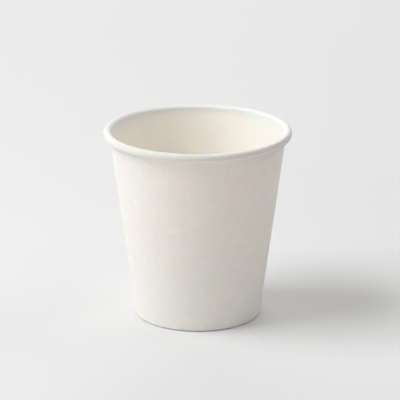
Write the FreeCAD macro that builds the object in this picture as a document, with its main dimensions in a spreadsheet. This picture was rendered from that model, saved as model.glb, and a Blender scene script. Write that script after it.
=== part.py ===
"""Bagasse cup: one moulded sheet of pulp, with a raised floor, a tapered wall and a rolled rim.

The origin is the middle of the foot, on the surface that the cup stands on, with +Z up the axis.
The whole cup is one solid of revolution, so its section is one sketch of the sheet's two faces.
"""
import FreeCAD, Part
import math
import os

import Sketcher

# Driving dimensions, in millimetres and degrees, with what each one measures.
SIZES = (
    ("rim_diameter", 80.0, "across the outside of the rolled rim"),
    ("cup_height", 82.0, "from the foot to the top of the rim"),
    ("base_diameter", 53.8, "across the outside of the wall, carried down to the ground"),
    ("wall_thickness", 0.85, "of the wall, the rolled rim and the step"),
    ("floor_thickness", 0.85, "of the floor and the foot ring"),
    ("roll_width", 3.2, "of the rim's roll, across its outside"),
    ("roll_side", 0.3, "of the upright side between the roll's two bends"),
    ("curl_gap", 0.15, "between the rolled edge and the wall"),
    ("foot_width", 5.0, "of the foot ring, from the wall's outside to the step"),
    ("foot_lift", 0.4, "of the ring's outer edge above the ground"),
    ("foot_slope", 1.5, "of the ring's outer part, which rises to that edge"),
    ("floor_rise", 2.0, "of the floor's underside above the foot"),
    ("step_lean", 30.0, "of the step between foot and floor, away from upright"),
    ("step_radius", 0.8, "at the top and the bottom of the step"),
    ("foot_bend_radius", 0.5, "where the ring leaves the ground"),
    ("foot_edge_radius", 0.4, "round the outside of the foot"),
    ("corner_radius", 2.0, "inside, between the foot ring and the wall"),
)

# The sketcher's own numbers for the points of an edge, and for its two axes.
START, END, CENTRE = range(1, 4)
X_AXIS, Y_AXIS = range(-1, -3, -1)


def make_sheet(doc):
    """Put the driving dimensions in a spreadsheet, one row each."""
    sheet = doc.addObject("Spreadsheet::Sheet", "sizes")
    for row, (name, value, meaning) in enumerate(SIZES, start=1):
        sheet.set(f"A{row}", meaning)
        sheet.set(f"B{row}", str(value))
        sheet.setAlias(f"B{row}", name)
    doc.recompute()
    return sheet


def point(radius, height):
    """A point of the section: its distance from the axis and its height."""
    return FreeCAD.Vector(radius, height, 0)


def draw_line(sketch, start, end):
    return sketch.addGeometry(Part.LineSegment(start, end), False)


def draw_arc(sketch, centre, radius, first, last):
    """Draw an arc anticlockwise between two angles."""
    circle = Part.Circle(centre, FreeCAD.Vector(0, 0, 1), radius)
    return sketch.addGeometry(Part.ArcOfCircle(circle, first, last), False)


def section_corners(size):
    """Work out where the sheet's faces would meet if every bend were sharp.

    The outer face runs under the floor and up the outside, the inner face over the floor and up
    the inside. Both end where they flow into the roll of the rim.
    """
    wall = size("wall_thickness")
    floor = size("floor_thickness")
    rise = size("floor_rise")
    base_radius = size("base_diameter") / 2
    roll_radius = size("roll_width") / 2
    roll = point(size("rim_diameter") / 2 - roll_radius, size("cup_height") - roll_radius)

    # The wall's outer face leaves the foot and touches the hollow inside the roll.
    reach = math.hypot(roll.x - base_radius, roll.y)
    lean = math.acos((roll_radius - wall) / reach) - math.atan2(roll.y, roll.x - base_radius)
    inward = point(-math.cos(lean), math.sin(lean))
    inner_foot = base_radius - wall / math.cos(lean) + floor * math.tan(lean)

    # The step climbs inwards from the foot ring to the floor.
    step_lean = math.radians(size("step_lean"))
    step_foot = base_radius - size("foot_width")
    step_shift = wall / math.cos(step_lean)

    def step(height, shift=0.0):
        return point(step_foot + shift - height * math.tan(step_lean), height)

    lift = size("foot_lift")
    outer = [point(0, rise), step(rise), step(0), point(base_radius - size("foot_slope"), 0),
             point(base_radius + lift * math.tan(lean), lift), roll + inward * (roll_radius - wall)]
    inner = [point(0, rise + floor), step(rise + floor, step_shift), step(floor, step_shift),
             point(inner_foot, floor), roll + inward * roll_radius]
    return outer, inner, roll, inward


def draw_face(sketch, corners, radii):
    """Draw straight runs between the corners, joined by a tangent arc of the given radius at each."""
    starts = [corners[0]]
    ends = []
    bends = []
    for before, corner, after, radius in zip(corners, corners[1:], corners[2:], radii):
        back = (before - corner).normalize()
        ahead = (after - corner).normalize()
        opening = back.getAngle(ahead)
        setback = radius / math.tan(opening / 2)
        centre = corner + (back + ahead).normalize() * (radius / math.sin(opening / 2))
        ends.append(corner + back * setback)
        starts.append(corner + ahead * setback)
        # A sketch's arcs run anticlockwise, so one that turns right starts at its far end.
        turns_left = back.cross(ahead).z < 0
        touching = (ends[-1], starts[-1]) if turns_left else (starts[-1], ends[-1])
        angles = [math.atan2(spot.y - centre.y, spot.x - centre.x) for spot in touching]
        bends.append((draw_arc(sketch, centre, radius, *angles), turns_left))
    ends.append(corners[-1])
    runs = [draw_line(sketch, start, end) for start, end in zip(starts, ends)]
    for (arc, turns_left), run_in, run_out in zip(bends, runs, runs[1:]):
        near, far = (START, END) if turns_left else (END, START)
        sketch.addConstraint(Sketcher.Constraint("Tangent", run_in, END, arc, near))
        sketch.addConstraint(Sketcher.Constraint("Tangent", arc, far, run_out, START))
    return runs, [arc for arc, turns_left in bends]


def draw_roll(sketch, roll, low_roll, radius, wall_side, cut_side):
    """Draw one face of the rim's roll: over the top, down its upright side and back under."""
    over = draw_arc(sketch, roll, radius, 0, wall_side)
    under = draw_arc(sketch, low_roll, radius, cut_side, 2 * math.pi)
    side = draw_line(sketch, sketch.getPoint(over, START), sketch.getPoint(under, END))
    sketch.addConstraint(Sketcher.Constraint("Tangent", over, START, side, START))
    sketch.addConstraint(Sketcher.Constraint("Tangent", under, END, side, END))
    return over, under


def make_section(body, sheet):
    """Draw and constrain the section of the sheet on the body's XZ plane."""
    size = sheet.get
    plane = next(item for item in body.Origin.OriginFeatures if item.Role == "XZ_Plane")
    sketch = body.newObject("Sketcher::SketchObject", "section")
    sketch.AttachmentSupport = [(plane, "")]
    sketch.MapMode = "FlatFace"

    outer, inner, roll, inward = section_corners(size)
    steps = [size("step_radius"), size("step_radius")]
    feet = [size("foot_bend_radius"), size("foot_edge_radius")]
    outer_runs, outer_arcs = draw_face(sketch, outer, steps + feet)
    inner_runs, inner_arcs = draw_face(sketch, inner, steps + [size("corner_radius")])

    # The rim rolls outwards over the top and back under, until its cut edge nears the wall.
    roll_radius = size("roll_width") / 2
    hollow_radius = roll_radius - size("wall_thickness")
    low_roll = roll - point(0, size("roll_side"))
    wall_side = math.atan2(inward.y, inward.x)
    wall_reach = hollow_radius + size("roll_side") * inward.y
    cut_side = wall_side + math.acos((wall_reach - size("curl_gap")) / roll_radius)
    outer_roll, outer_under = draw_roll(sketch, roll, low_roll, hollow_radius, wall_side, cut_side)
    inner_roll, inner_under = draw_roll(sketch, roll, low_roll, roll_radius, wall_side, cut_side)
    cut_edge = draw_line(sketch, sketch.getPoint(outer_under, START), sketch.getPoint(inner_under, START))
    axis_edge = draw_line(sketch, inner[0], outer[0])
    foot_corner = sketch.addGeometry(Part.Point(point(size("base_diameter") / 2, 0)), True)
    edge_corner = sketch.addGeometry(Part.Point(outer[4]), True)
    bend_corner = sketch.addGeometry(Part.Point(outer[3]), True)
    step_corner = sketch.addGeometry(Part.Point(outer[2]), True)

    under_floor, outer_step, foot, slope, outer_wall = outer_runs
    over_floor, inner_step, gutter, inner_wall = inner_runs

    def hold(kind, *where):
        return sketch.addConstraint(Sketcher.Constraint(kind, *where))

    def drive(name, formula, kind, *where):
        """Add a dimension and bind it to the spreadsheet."""
        index = hold(kind, *where)
        sketch.renameConstraint(index, name)
        sketch.setExpression(f"Constraints.{name}", formula)

    # The outline is closed: round the roll, across its cut edge and down the axis.
    hold("Tangent", outer_wall, END, outer_roll, END)
    hold("Tangent", inner_wall, END, inner_roll, END)
    hold("Coincident", outer_under, START, cut_edge, START)
    hold("Coincident", inner_under, START, cut_edge, END)
    hold("Coincident", over_floor, START, axis_edge, START)
    hold("Coincident", under_floor, START, axis_edge, END)
    hold("PointOnObject", axis_edge, START, Y_AXIS)
    hold("PointOnObject", axis_edge, END, Y_AXIS)

    # Floor and foot ring are level, and the sheet's two faces are parallel.
    hold("PointOnObject", foot, START, X_AXIS)
    for run in (under_floor, foot, over_floor, gutter):
        hold("Horizontal", run)
    hold("Parallel", outer_wall, inner_wall)
    hold("Parallel", outer_step, inner_step)
    hold("Coincident", outer_roll, CENTRE, inner_roll, CENTRE)
    hold("Coincident", outer_under, CENTRE, inner_under, CENTRE)
    hold("Vertical", inner_roll, CENTRE, inner_under, CENTRE)
    hold("PointOnObject", inner_under, CENTRE, cut_edge)
    for corner, run in ((foot_corner, outer_wall), (bend_corner, slope), (step_corner, outer_step)):
        hold("PointOnObject", corner, START, run)
        hold("PointOnObject", corner, START, X_AXIS)
    hold("PointOnObject", edge_corner, START, slope)
    hold("PointOnObject", edge_corner, START, outer_wall)

    drive("base_radius", "sizes.base_diameter / 2", "DistanceX", -1, START, foot_corner, START,
          size("base_diameter") / 2)
    drive("foot_width", "sizes.foot_width", "DistanceX", step_corner, START, foot_corner, START,
          size("foot_width"))
    drive("foot_slope", "sizes.foot_slope", "DistanceX", bend_corner, START, foot_corner, START,
          size("foot_slope"))
    drive("foot_lift", "sizes.foot_lift", "DistanceY", -1, START, edge_corner, START, size("foot_lift"))
    drive("floor_rise", "sizes.floor_rise", "DistanceY", -1, START, under_floor, START, outer[0].y)
    drive("floor_thickness", "sizes.floor_thickness", "DistanceY", under_floor, START, over_floor, START,
          size("floor_thickness"))
    drive("foot_thickness", "sizes.floor_thickness", "DistanceY", -1, START, gutter, START,
          size("floor_thickness"))
    drive("step_thickness", "sizes.wall_thickness", "Distance", inner_step, START, outer_step,
          size("wall_thickness"))
    drive("step_lean", "sizes.step_lean", "Angle", Y_AXIS, START, outer_step, END,
          math.radians(size("step_lean")))
    drive("roll_reach", "(sizes.rim_diameter - sizes.roll_width) / 2", "DistanceX", -1, START,
          inner_roll, CENTRE, roll.x)
    drive("roll_height", "sizes.cup_height - sizes.roll_width / 2", "DistanceY", -1, START,
          inner_roll, CENTRE, roll.y)
    drive("roll_side", "sizes.roll_side", "DistanceY", inner_under, CENTRE, inner_roll, CENTRE,
          size("roll_side"))
    for place, hollow_bend, bend in (("over", outer_roll, inner_roll), ("under", outer_under, inner_under)):
        drive(f"roll_{place}", "sizes.roll_width / 2", "Radius", bend, roll_radius)
        drive(f"hollow_{place}", "sizes.roll_width / 2 - sizes.wall_thickness", "Radius", hollow_bend,
              hollow_radius)
    drive("curl_gap", "sizes.curl_gap", "Distance", cut_edge, END, outer_wall, size("curl_gap"))
    for side, arcs in (("outer", outer_arcs), ("inner", inner_arcs)):
        for place, arc in zip(("top", "bottom"), arcs):
            drive(f"{side}_step_{place}", "sizes.step_radius", "Radius", arc, size("step_radius"))
    for name, arc in zip(("foot_bend_radius", "foot_edge_radius"), outer_arcs[-2:]):
        drive(name, f"sizes.{name}", "Radius", arc, size(name))
    drive("corner_radius", "sizes.corner_radius", "Radius", inner_arcs[-1], size("corner_radius"))
    return sketch


def make_cup(doc, sheet):
    """Revolve the section into the whole cup."""
    body = doc.addObject("PartDesign::Body", "cup")
    body.Label = "cup"
    sketch = make_section(body, sheet)
    doc.recompute()
    turn = body.newObject("PartDesign::Revolution", "turn")
    turn.Profile = sketch
    turn.ReferenceAxis = (sketch, ["V_Axis"])
    turn.Angle = 360
    body.Tip = turn
    doc.recompute()
    return body, sketch


def check(doc, body, sketch):
    """Stop if anything in the document failed or the section is loose."""
    for item in doc.Objects:
        if "Invalid" in item.State or "Error" in item.State:
            raise RuntimeError(f"{item.Label} failed: {item.State}")
    if not sketch.FullyConstrained:
        raise RuntimeError("the section isn't fully constrained")
    if body.Shape.isNull() or not body.Shape.isValid() or len(body.Shape.Solids) != 1:
        raise RuntimeError("the cup isn't one valid solid")


def main():
    doc = FreeCAD.newDocument("bagasse_cup")
    sheet = make_sheet(doc)
    cup, section = make_cup(doc, sheet)
    check(doc, cup, section)
    os.makedirs("parts", exist_ok=True)
    cup.Shape.exportStep(f"parts/{cup.Label}.step")
    box = cup.Shape.optimalBoundingBox()
    print(f"{cup.Label}: {box.XLength:.2f} x {box.YLength:.2f} x {box.ZLength:.2f} mm, "
          f"{cup.Shape.Volume / 1000:.2f} cm3")


main()
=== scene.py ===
# %% [markdown]
# # A moulded bagasse cup
#
# Bagasse is the fibre left over when sugar cane is pressed. It is beaten into a pulp, drawn onto a
# mesh mould and pressed dry, so this cup is a single sheet: floor, tapered wall and a rim rolled
# outwards. The engineering model, which is packed as the frame, already has the real sizes. Blender
# gives the sheet its finish: smooth bends, the mottle of the fibres, the light that sinks a little
# way into them, and a plain studio to stand in.

import math

import bpy
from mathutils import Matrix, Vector


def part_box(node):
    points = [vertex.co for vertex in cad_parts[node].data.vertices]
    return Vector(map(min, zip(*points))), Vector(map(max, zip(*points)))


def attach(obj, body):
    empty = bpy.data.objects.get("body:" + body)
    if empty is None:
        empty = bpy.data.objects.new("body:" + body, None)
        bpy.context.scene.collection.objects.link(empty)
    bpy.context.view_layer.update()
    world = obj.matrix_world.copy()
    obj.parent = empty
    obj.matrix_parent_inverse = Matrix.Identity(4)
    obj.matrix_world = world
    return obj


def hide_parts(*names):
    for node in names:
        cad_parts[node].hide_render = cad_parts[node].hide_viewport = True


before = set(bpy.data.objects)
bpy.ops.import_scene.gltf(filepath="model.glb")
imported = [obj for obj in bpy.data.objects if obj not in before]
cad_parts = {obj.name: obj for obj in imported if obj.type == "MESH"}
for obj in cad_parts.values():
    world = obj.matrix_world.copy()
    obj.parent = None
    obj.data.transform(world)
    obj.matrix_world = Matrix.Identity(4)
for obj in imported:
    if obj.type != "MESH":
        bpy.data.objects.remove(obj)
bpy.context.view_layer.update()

# %% [markdown]
# ## Sizes
#
# The rim's radius and the height come from the frame, so the two models can't drift apart. The rest
# are the sheet's own sizes, in metres: how thick it is, how it bends, and how its rim rolls over.

# %% Sizes of the sheet
MM = 0.001
RIM_RADIUS = (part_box("cup")[1].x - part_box("cup")[0].x) / 2
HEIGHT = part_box("cup")[1].z
BASE_RADIUS = 26.9 * MM
WALL = 0.85 * MM
FLOOR = 0.85 * MM
ROLL_RADIUS = 1.6 * MM
ROLL_SIDE = 0.3 * MM
CURL_GAP = 0.15 * MM
FOOT_WIDTH = 5.0 * MM
FOOT_LIFT = 0.4 * MM
FOOT_SLOPE = 1.5 * MM
FLOOR_RISE = 2.0 * MM
STEP_LEAN = math.radians(30)
STEP_BEND = 0.8 * MM
FOOT_BEND = 0.5 * MM
EDGE_BEND = 0.4 * MM
CORNER_BEND = 2.0 * MM
print(f"rim radius {RIM_RADIUS / MM:.2f} mm, height {HEIGHT / MM:.2f} mm")


# %% [markdown]
# ## The section as corners and bends
#
# Cut the cup down its middle and one half shows a long thin loop: out under the floor, up the
# outside, round the hollow of the roll, back over the bead, down the inside and home across the
# floor. A maker would draw it as straight runs with a bend radius at each corner, so that is what
# is written down here: the corners, each with its bend. The roll is two wide bends with a short
# upright side between them. One corner can't stand for a bend that turns so far, so each gets three
# corners that stand round it, every one bent as tightly as the roll itself.
#
# A corner also carries two marks, which the nodes later spread over the cup for its material: one
# says that the face is the inner one, the other that the sheet is rolled there. The material paints
# the inner face paler, as painted light, and the roll darker, as painted shade.

# %% The corners of the section
def spot(radius, height):
    """A point of the section, at a distance from the axis and a height."""
    return Vector((radius, 0, height))


def roll_corners(middle, radius, first, last, count=3):
    """Corners standing round an arc, so that bending each one to the radius gives the arc."""
    turn = (last - first) / count
    reach = radius / math.cos(turn / 2)
    angles = [first + turn * (step + 0.5) for step in range(count)]
    return [middle + reach * spot(math.cos(angle), math.sin(angle)) for angle in angles]


def section():
    """The loop's corners as (point, bend radius, 1 on the inner face, 1 on the outside of the roll)."""
    roll = spot(RIM_RADIUS - ROLL_RADIUS, HEIGHT - ROLL_RADIUS)
    low_roll = roll - spot(0, ROLL_SIDE)
    hollow = ROLL_RADIUS - WALL
    run = spot(roll.x - BASE_RADIUS, roll.z)
    lean = math.acos(hollow / run.length) - math.atan2(run.z, run.x)
    wall_side = math.pi - lean
    wall_reach = hollow + ROLL_SIDE * math.sin(lean)
    cut_side = wall_side + math.acos((wall_reach - CURL_GAP) / ROLL_RADIUS) - 2 * math.pi
    cut = spot(math.cos(cut_side), math.sin(cut_side))
    inner_foot = BASE_RADIUS - WALL / math.cos(lean) + FLOOR * math.tan(lean)
    shift = WALL / math.cos(STEP_LEAN)

    def step(height, out=0.0):
        """A point on the line that leans from the foot ring up to the floor."""
        return spot(BASE_RADIUS - FOOT_WIDTH + out - height * math.tan(STEP_LEAN), height)

    loop = [(spot(0, FLOOR_RISE), 0, 0, 0), (step(FLOOR_RISE), STEP_BEND, 0, 0),
            (step(0), STEP_BEND, 0, 0), (spot(BASE_RADIUS - FOOT_SLOPE, 0), FOOT_BEND, 0, 0),
            (spot(BASE_RADIUS + FOOT_LIFT * math.tan(lean), FOOT_LIFT), EDGE_BEND, 0, 0)]
    loop += [(corner, hollow, 0, 0) for corner in roll_corners(roll, hollow, wall_side, 0)]
    loop += [(corner, hollow, 0, 0) for corner in roll_corners(low_roll, hollow, 0, cut_side)]
    loop += [(low_roll + cut * hollow, 0, 0, 1), (low_roll + cut * ROLL_RADIUS, 0, 0, 1)]
    loop += [(corner, ROLL_RADIUS, 0, 1) for corner in roll_corners(low_roll, ROLL_RADIUS, cut_side, 0)]
    outer_side, crest, inner_side = roll_corners(roll, ROLL_RADIUS, 0, wall_side)
    loop += [(outer_side, ROLL_RADIUS, 0, 1), (crest, ROLL_RADIUS, 0, 1), (inner_side, ROLL_RADIUS, 1, 0)]
    loop += [(spot(inner_foot, FLOOR), CORNER_BEND, 1, 0), (step(FLOOR, shift), STEP_BEND, 1, 0),
             (step(FLOOR_RISE + FLOOR, shift), STEP_BEND, 1, 0), (spot(0, FLOOR_RISE + FLOOR), 0, 1, 0)]
    return loop


def section_object(loop):
    """Put the corners in a mesh of edges, with the bend and the two marks as its points' attributes."""
    mesh = bpy.data.meshes.new("cup_section")
    points = [corner[0] for corner in loop]
    mesh.from_pydata(points, [(index, index + 1) for index in range(len(points) - 1)], [])
    for name, column in (("bend", 1), ("inside", 2), ("rolled", 3)):
        values = mesh.attributes.new(name, "FLOAT", "POINT").data
        for value, corner in zip(values, loop):
            value.value = corner[column]
    cup = bpy.data.objects.new("pulp_cup", mesh)
    bpy.context.collection.objects.link(cup)
    return cup


cup = section_object(section())
print("the section has", len(cup.data.vertices), "corners")


# %% [markdown]
# ## Turning the section into the cup
#
# A cup is a body of revolution, which is a rule, so Geometry Nodes make it. The tree bends every
# corner of the section, cuts the long runs into short steps, lays a grid over it with one column for
# each step round the axis, closes the seam and the two poles, and last presses a faint unevenness into
# the faces. The Spin tool or a Screw modifier would turn it as well, but in nodes the number of steps,
# the bends and the unevenness stay inputs to play with. First come two helpers, because a tree built
# by hand takes many lines for each node.

# %% Helpers that build node trees
def add(tree, kind, inputs=None, **settings):
    """Add a node, set its options, then fill or link its inputs by name or number."""
    node = tree.nodes.new(kind)
    for name, value in settings.items():
        setattr(node, name, value)
    for name, value in (inputs or {}).items():
        if isinstance(value, bpy.types.NodeSocket):
            tree.links.new(value, node.inputs[name])
        else:
            node.inputs[name].default_value = value
    return node


def maths(tree, operation, *values):
    """Add a Math node on the given values or sockets and return its result."""
    return add(tree, "ShaderNodeMath", dict(enumerate(values)), operation=operation).outputs[0]


# %% [markdown]
# ### The inputs of the tree
#
# These are the numbers a maker would want to turn: how finely the cup is stepped, how uneven the
# pressed sheet is, and what it is coated with. As inputs of the tree they stay in one list, and the
# section brings its own bends along as attributes.

# %% The inputs of the turning tree
INPUTS = (
    ("Steps Around", "NodeSocketInt", 256),
    ("Bend Steps", "NodeSocketInt", 7),
    ("Longest Step", "NodeSocketFloat", 0.9 * MM),
    ("Unevenness", "NodeSocketFloat", 0.02 * MM),
    ("Unevenness Size", "NodeSocketFloat", 7 * MM),
    ("Seed", "NodeSocketFloat", 4.0),
    ("Pulp", "NodeSocketMaterial", None),
)


def new_tree(name):
    """An empty Geometry Nodes tree with the inputs above."""
    tree = bpy.data.node_groups.new(name, "GeometryNodeTree")
    tree.interface.new_socket("Geometry", in_out="INPUT", socket_type="NodeSocketGeometry")
    tree.interface.new_socket("Geometry", in_out="OUTPUT", socket_type="NodeSocketGeometry")
    for label, kind, value in INPUTS:
        socket = tree.interface.new_socket(label, in_out="INPUT", socket_type=kind)
        if value is not None:
            socket.default_value = value
    return tree


print("the turning tree takes", ", ".join(label.lower() for label, kind, value in INPUTS))


# %% [markdown]
# ### Bending and stepping the section
#
# Fillet Curve rounds every corner to its own bend. The straight runs between the bends would stay
# single long faces, so each is cut into steps no longer than the given one, which also lets the
# unevenness show on them.

# %% The turning tree: bend the corners and step along the runs
def attribute(tree, name):
    """Read one of the section's attributes inside the tree."""
    return add(tree, "GeometryNodeInputNamedAttribute", {"Name": name},
               data_type="FLOAT").outputs["Attribute"]


def stepped_section(tree, given):
    """Bend the section's corners and cut its long runs into short steps."""
    loop = add(tree, "GeometryNodeMeshToCurve", {"Mesh": given["Geometry"]}).outputs["Curve"]
    bent = add(tree, "GeometryNodeFilletCurve", {
        "Curve": loop, "Radius": attribute(tree, "bend"), "Limit Radius": True,
        "Count": given["Bend Steps"]}, mode="POLY").outputs["Curve"]
    here = add(tree, "GeometryNodeInputPosition").outputs[0]
    following = add(tree, "GeometryNodeOffsetPointInCurve", {"Offset": 1}).outputs["Point Index"]
    there = add(tree, "GeometryNodeFieldAtIndex", {"Index": following, "Value": here},
                data_type="FLOAT_VECTOR").outputs["Value"]
    gap = add(tree, "ShaderNodeVectorMath", {0: here, 1: there}, operation="DISTANCE").outputs["Value"]
    cuts = maths(tree, "FLOOR", maths(tree, "DIVIDE", gap, given["Longest Step"]))
    return add(tree, "GeometryNodeSubdivideCurve", {"Curve": bent, "Cuts": cuts}).outputs["Curve"]


# %% [markdown]
# ### Swinging the section round
#
# A grid is only a sheet of points in rows and columns. Giving every point its row's place in the
# section, swung round by its column's angle, turns the sheet into the cup's skin. The first and last
# columns land on each other, and so do all the points on the axis, which is why they can be merged.

# %% The turning tree: swing the section round the axis
MERGE_REACH = 0.001 * MM


def turned(tree, section_curve, given):
    """Lay a grid over the section, one column for each step round, and close its seam and poles."""
    rows = add(tree, "GeometryNodeAttributeDomainSize", {"Geometry": section_curve},
               component="CURVE").outputs["Point Count"]
    columns = maths(tree, "ADD", given["Steps Around"], 1)
    grid = add(tree, "GeometryNodeMeshGrid", {"Vertices X": columns, "Vertices Y": rows}).outputs["Mesh"]
    index = add(tree, "GeometryNodeInputIndex").outputs[0]
    row = maths(tree, "MODULO", index, rows)
    column = maths(tree, "FLOOR", maths(tree, "DIVIDE", index, rows))
    angle = maths(tree, "DIVIDE", maths(tree, "MULTIPLY", column, 2 * math.pi), given["Steps Around"])

    def looked_up(value, kind):
        """The value that the section has at this row."""
        return add(tree, "GeometryNodeSampleIndex", {"Geometry": section_curve, "Value": value,
                   "Index": row}, data_type=kind, domain="POINT").outputs["Value"]

    place = looked_up(add(tree, "GeometryNodeInputPosition").outputs[0], "FLOAT_VECTOR")
    swung = add(tree, "ShaderNodeVectorRotate", {"Vector": place, "Angle": angle},
                rotation_type="Z_AXIS").outputs["Vector"]
    for name in ("inside", "rolled"):
        mark = looked_up(attribute(tree, name), "FLOAT")
        grid = add(tree, "GeometryNodeStoreNamedAttribute", {"Geometry": grid, "Name": name, "Value": mark},
                   data_type="FLOAT", domain="POINT").outputs["Geometry"]
    wrapped = add(tree, "GeometryNodeSetPosition", {"Geometry": grid, "Position": swung})
    return add(tree, "GeometryNodeMergeByDistance", {
        "Geometry": wrapped.outputs["Geometry"], "Distance": MERGE_REACH}).outputs["Geometry"]


# %% [markdown]
# ### The unevenness of pressed pulp
#
# Noise some millimetres wide moves the faces in and out by a hundredth of a millimetre. That is too
# little to see as dents, but it keeps the light on the wall from being perfectly even.

# %% The turning tree: the unevenness, and the end of the tree
def turning_tree():
    """The whole tree: bend, step, turn, press and coat."""
    tree = new_tree("turned_pulp")
    given = add(tree, "NodeGroupInput").outputs
    cup_skin = turned(tree, stepped_section(tree, given), given)
    here = add(tree, "GeometryNodeInputPosition").outputs[0]
    waves = add(tree, "ShaderNodeTexNoise", {
        "Vector": here, "W": given["Seed"], "Scale": maths(tree, "DIVIDE", 1.0, given["Unevenness Size"]),
        "Detail": 2.0, "Roughness": 0.5}, noise_dimensions="4D").outputs[0]
    swell = maths(tree, "MULTIPLY", maths(tree, "SUBTRACT", waves, 0.5), given["Unevenness"])
    outward = add(tree, "GeometryNodeInputNormal").outputs["Normal"]
    push = add(tree, "ShaderNodeVectorMath", {0: outward, "Scale": swell}, operation="SCALE")
    pressed = add(tree, "GeometryNodeSetPosition", {"Geometry": cup_skin, "Offset": push.outputs["Vector"]})
    smooth = add(tree, "GeometryNodeSetShadeSmooth", {
        "Geometry": pressed.outputs["Geometry"]}).outputs["Geometry"]
    real = add(tree, "GeometryNodeRealizeInstances", {"Geometry": smooth}).outputs["Geometry"]
    coated = add(tree, "GeometryNodeSetMaterial", {"Geometry": real, "Material": given["Pulp"]})
    add(tree, "NodeGroupOutput", {"Geometry": coated.outputs["Geometry"]})
    return tree


turning = turning_tree()
print("the turning tree has", len(turning.nodes), "nodes")


# %% [markdown]
# ## The mottle of pulp
#
# Pressed bagasse is matte and a little warm. Its outer face dried against a mesh, so the fibres lie
# in soft blotches a millimetre or so across, over wider clouds where the pulp settled thicker or
# thinner. The inner face was pressed by the hot polished tool and is smoother; its paler tone is
# painted light, which brightens the inside of the cup. The roll gets a darker tone, which is painted
# shade: it dims the highlights on its crest and deepens the shaded band on its outer side. A flat
# colour would look like plastic, so both faces get their mottle from one node group, each with its
# own sizes, and the two finishes stay related.

# %% A node group for pulp
BLOTCH_SHARE = 0.6
FIBRE_SHARE = 0.4
CLOUD_SHARE = 0.5


def pulp_group():
    """Clouds, blotches and fibres of pulp: a mask for colour and a height for relief."""
    tree = bpy.data.node_groups.new("pulp_fibres", "ShaderNodeTree")
    for label, kind, value in (
            ("Vector", "NodeSocketVector", None), ("Cloud Size", "NodeSocketFloat", 4.0 * MM),
            ("Blotch Size", "NodeSocketFloat", 1.6 * MM), ("Fibre Size", "NodeSocketFloat", 0.45 * MM),
            ("Seed", "NodeSocketFloat", 0.0)):
        socket = tree.interface.new_socket(label, in_out="INPUT", socket_type=kind)
        if value is not None:
            socket.default_value = value
    for label in ("Blotches", "Height"):
        tree.interface.new_socket(label, in_out="OUTPUT", socket_type="NodeSocketFloat")
    given = add(tree, "NodeGroupInput").outputs

    def noise(size, detail):
        return add(tree, "ShaderNodeTexNoise", {
            "Vector": given["Vector"], "W": given["Seed"], "Scale": maths(tree, "DIVIDE", 1.0, size),
            "Detail": detail, "Roughness": 0.6}, noise_dimensions="4D").outputs[0]

    clouds = noise(given["Cloud Size"], 2.0)
    blotches = noise(given["Blotch Size"], 3.0)
    fibres = noise(given["Fibre Size"], 2.0)
    height = maths(tree, "ADD", maths(tree, "MULTIPLY", blotches, BLOTCH_SHARE),
                   maths(tree, "MULTIPLY", fibres, FIBRE_SHARE))
    density = maths(tree, "MULTIPLY", maths(tree, "SUBTRACT", clouds, 0.5), CLOUD_SHARE)
    mottle = add(tree, "ShaderNodeMapRange", {
        "Value": maths(tree, "ADD", height, density), "From Min": 0.3, "From Max": 0.7}).outputs[0]
    add(tree, "NodeGroupOutput", {"Blotches": mottle, "Height": height})
    return tree


PULP_FIBRES = pulp_group()
print("the fibre group gives", [socket.name for socket in PULP_FIBRES.interface.items_tree
                                if socket.in_out == "OUTPUT"])


# %% [markdown]
# ## The skin of the cup
#
# Pulp isn't quite opaque. Light sinks in for about the sheet's own thickness and comes out again
# near by, red light furthest, which softens the shadows on the cup. Subsurface scattering does that,
# and it needs real sizes, so its scale is a length. One material serves the whole sheet, and the
# section's two marks choose the tone and the relief: outer face, inner face, or roll. The paler inner
# tone is painted light, and the darker roll tone is painted shade.

# %% The pulp material
OUTER_PULP = ((0.785, 0.767, 0.739, 1), (0.835, 0.817, 0.789, 1))
# The inner face's paler tone is painted light: it brightens the inside of the cup.
INNER_PAINTED_LIGHT = ((0.89, 0.865, 0.83, 1), (0.91, 0.885, 0.85, 1))
# The roll's darker tone is painted shade: it dims the highlights on the crest and deepens the shaded band
# on the roll's outer side.
ROLL_PAINTED_SHADE = ((0.742, 0.721, 0.682, 1), (0.782, 0.761, 0.722, 1))
SCATTER_REACH = 1.0 * MM
RELIEF_DEPTH = 0.05 * MM
MIX_SOCKETS = {"RGBA": (0, 6, 7, 2), "FLOAT": (0, 2, 3, 0)}


def mixed(tree, kind, amount, first, second):
    """Mix two colours or two values with the Mix node, whose sockets depend on the kind."""
    amount_in, first_in, second_in, result = MIX_SOCKETS[kind]
    return add(tree, "ShaderNodeMix", {amount_in: amount, first_in: first, second_in: second},
               data_type=kind).outputs[result]


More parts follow.
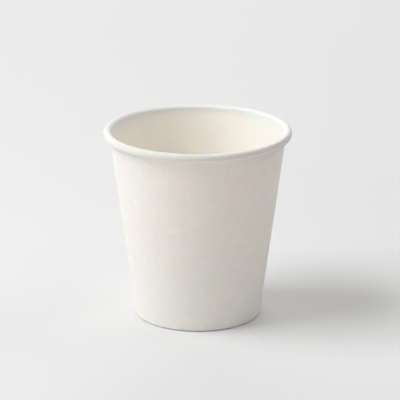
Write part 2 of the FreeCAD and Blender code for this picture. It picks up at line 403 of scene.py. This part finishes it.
def pulp_material():
    """Matte pulp, mottled by its fibres, with a paler inner face that is painted light and a darker roll
    that is painted shade.
    """
    material = bpy.data.materials.new("moulded_pulp")
    material.use_nodes = True
    tree = material.node_tree
    tree.nodes.clear()
    place = add(tree, "ShaderNodeTexCoord").outputs["Object"]
    inside = add(tree, "ShaderNodeAttribute", attribute_name="inside").outputs["Fac"]
    rolled = add(tree, "ShaderNodeAttribute", attribute_name="rolled").outputs["Fac"]

    def fibres(cloud, blotch, fibre, seed):
        """One use of the fibre group, with sizes of its own."""
        group = add(tree, "ShaderNodeGroup", node_tree=PULP_FIBRES)
        tree.links.new(place, group.inputs["Vector"])
        sizes = (("Cloud Size", cloud), ("Blotch Size", blotch), ("Fibre Size", fibre), ("Seed", seed))
        for name, value in sizes:
            group.inputs[name].default_value = value
        return group.outputs

    felt = fibres(4.0 * MM, 1.6 * MM, 0.45 * MM, 0.0)
    press = fibres(7.0 * MM, 3.0 * MM, 0.8 * MM, 5.0)
    outer = mixed(tree, "RGBA", felt["Blotches"], *OUTER_PULP)
    # The inner face's tone: painted light, paler than the outer face.
    inner = mixed(tree, "RGBA", press["Blotches"], *INNER_PAINTED_LIGHT)
    # The roll's tone: painted shade, darker than the outer face.
    rim = mixed(tree, "RGBA", felt["Blotches"], *ROLL_PAINTED_SHADE)
    flat = mixed(tree, "RGBA", inside, outer, inner)
    relief = mixed(tree, "FLOAT", inside, felt["Height"], maths(tree, "MULTIPLY", press["Height"], 0.4))
    bump = add(tree, "ShaderNodeBump", {"Height": relief, "Strength": 0.5, "Distance": RELIEF_DEPTH})
    # Base Color: the inner face takes its painted light, and the roll takes its painted shade.
    skin = add(tree, "ShaderNodeBsdfPrincipled", {
        "Base Color": mixed(tree, "RGBA", rolled, flat, rim), "Roughness": 0.8,
        "Normal": bump.outputs["Normal"], "Specular IOR Level": 0.15,
        "Subsurface Weight": 1.0, "Subsurface Radius": (1.0, 0.72, 0.46),
        "Subsurface Scale": SCATTER_REACH})
    add(tree, "ShaderNodeOutputMaterial", {"Surface": skin.outputs[0]})
    print("the pulp material has", len(tree.nodes), "nodes")
    return material


PULP = pulp_material()


# %% [markdown]
# ## Making the cup
#
# The tree runs as a modifier on the section. Its result is then copied out as a plain mesh, so that
# the cup no longer depends on the tree, and the cup takes the place of the plain model's node.

# %% Run the tree and keep its result
def run_tree(piece, tree, values):
    """Run a Geometry Nodes tree on a piece and keep the result as the piece's own mesh."""
    modifier = piece.modifiers.new(tree.name, "NODES")
    modifier.node_group = tree
    for item in tree.interface.items_tree:
        if item.in_out == "INPUT" and item.name in values:
            modifier[item.identifier] = values[item.name]
    evaluated = piece.evaluated_get(bpy.context.evaluated_depsgraph_get())
    mesh = bpy.data.meshes.new_from_object(evaluated)
    mesh.name = piece.name
    piece.modifiers.clear()
    piece.data = mesh


run_tree(cup, turning, {"Pulp": PULP})
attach(cup, "root")
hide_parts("cup")
triangles = sum(len(face.vertices) - 2 for face in cup.data.polygons)
print("the cup has", len(cup.data.vertices), "points and", triangles, "triangles")

# %% [markdown]
# ## The floor
#
# The cup stands on something pale and matte that has no edge in sight, so one wide floor is the
# background too. It reaches as far as the lamps stand, because beyond them it would turn dark. Its
# grey is a shade warm, to balance the cool light of the main lamp.

# %% The floor
FLOOR_GREY = (0.769, 0.762, 0.753, 1)
FLOOR_SIDE = 2.4


def floor_material():
    """Matte pale grey, with hardly any gloss."""
    material = bpy.data.materials.new("pale_floor")
    material.use_nodes = True
    skin = material.node_tree.nodes["Principled BSDF"]
    skin.inputs["Base Color"].default_value = FLOOR_GREY
    skin.inputs["Roughness"].default_value = 0.9
    skin.inputs["Specular IOR Level"].default_value = 0.2
    return material


bpy.ops.mesh.primitive_plane_add(size=FLOOR_SIDE, location=(0, 0, 0))
floor = bpy.context.object
floor.name = "floor"
floor.data.materials.append(floor_material())
print("the floor measures", [round(side, 1) for side in floor.dimensions[:2]], "m")

# %% [markdown]
# ## The lamps
#
# A pale cup on a pale floor is drawn by shading alone. One large lamp, high on the left, gives the
# bright side, the tone that falls off to the right, and the soft shadow. The others are weak and wide
# and only keep the shade open: one low behind the cup, one low in front, and two on the right. Each
# stands on a sphere round the cup, so a direction and a size say where it is. All of them together
# stay dim enough for the pale rim to keep its own colour.

# %% The lamps
LAMP_DISTANCE = 1.2
WHITE = (1, 1, 1)
COOL_WHITE = (0.98, 1.0, 1.02)
LAMPS = (  # name, azimuth (0 is in front, 90 on the right), elevation, size, watts, colour
    ("key", -81, 49, 0.8, 11.9, COOL_WHITE),
    ("back", 180, 17, 1.35, 8.7, WHITE),
    ("front_left", -30, 6, 1.0, 5.1, WHITE),
    ("front_right", 48, 55, 0.6, 1.5, WHITE),
    ("right", 108, 44, 0.7, 2.75, WHITE),
)


def soft_lamp(name, azimuth, elevation, size, watts, colour):
    """A square lamp that faces the middle of the cup."""
    lamp = bpy.data.objects.new(name, bpy.data.lights.new(name, "AREA"))
    lamp.data.size = size
    lamp.data.energy = watts
    lamp.data.color = colour
    turn = math.radians(azimuth)
    rise = math.radians(elevation)
    away = Vector((math.sin(turn) * math.cos(rise), -math.cos(turn) * math.cos(rise), math.sin(rise)))
    lamp.location = Vector((0, 0, HEIGHT / 2)) + away * LAMP_DISTANCE
    lamp.rotation_euler = away.to_track_quat("Z", "Y").to_euler()
    bpy.context.collection.objects.link(lamp)


for row in LAMPS:
    soft_lamp(*row)
print(len(LAMPS), "lamps give", round(sum(row[4] for row in LAMPS), 1), "W")

# %% [markdown]
# ## The sky
#
# A dim even sky stands for the light that a pale room throws back. Seen straight on, or mirrored, it
# would be a dark wall, so for those rays alone it is a pale one. That changes what is behind the cup
# and leaves the light on it as it is.

# %% The sky
SKY_STRENGTH = 0.138
WALL_GREY = (0.81, 0.81, 0.81, 1)


def studio_sky():
    """A dim sky for light, and a pale wall where the camera or a glossy ray looks at it."""
    world = bpy.data.worlds.new("studio")
    world.use_nodes = True
    tree = world.node_tree
    tree.nodes.clear()
    sky = add(tree, "ShaderNodeBackground", {"Color": (1, 1, 1, 1), "Strength": SKY_STRENGTH})
    wall = add(tree, "ShaderNodeBackground", {"Color": WALL_GREY, "Strength": 1.0})
    ray = add(tree, "ShaderNodeLightPath").outputs
    seen = maths(tree, "MAXIMUM", ray["Is Camera Ray"], ray["Is Glossy Ray"])
    chosen = add(tree, "ShaderNodeMixShader", {0: seen, 1: sky.outputs[0], 2: wall.outputs[0]})
    add(tree, "ShaderNodeOutputWorld", {"Surface": chosen.outputs[0]})
    return world


bpy.context.scene.world = studio_sky()
print("the sky gives light at a strength of", SKY_STRENGTH)

# %% [markdown]
# ## The camera
#
# The cup is seen from a little above, so that its mouth shows as an open oval and its wall stays
# nearly upright. That takes a long lens from far off. The distance and the point aimed at are
# multiples of the rim's radius, so the view fits the cup at any size.

# %% The camera
CAMERA_RISE = math.radians(17.78)
CAMERA_DISTANCE = 28.165 * RIM_RADIUS
AIM = Vector((0.0235 * RIM_RADIUS, 0, 1.253 * RIM_RADIUS))

camera = bpy.data.objects.new("camera", bpy.data.cameras.new("camera"))
bpy.context.collection.objects.link(camera)
camera.location = AIM + CAMERA_DISTANCE * Vector((0, -math.cos(CAMERA_RISE), math.sin(CAMERA_RISE)))
camera.rotation_euler = (math.radians(90) - CAMERA_RISE, 0, 0)
camera.data.lens = 236.85
camera.data.sensor_width = 36
bpy.context.scene.camera = camera
bpy.context.scene.view_settings.view_transform = "Standard"
print(f"the camera stands {CAMERA_DISTANCE:.2f} m off, {math.degrees(CAMERA_RISE):.1f} degrees up")
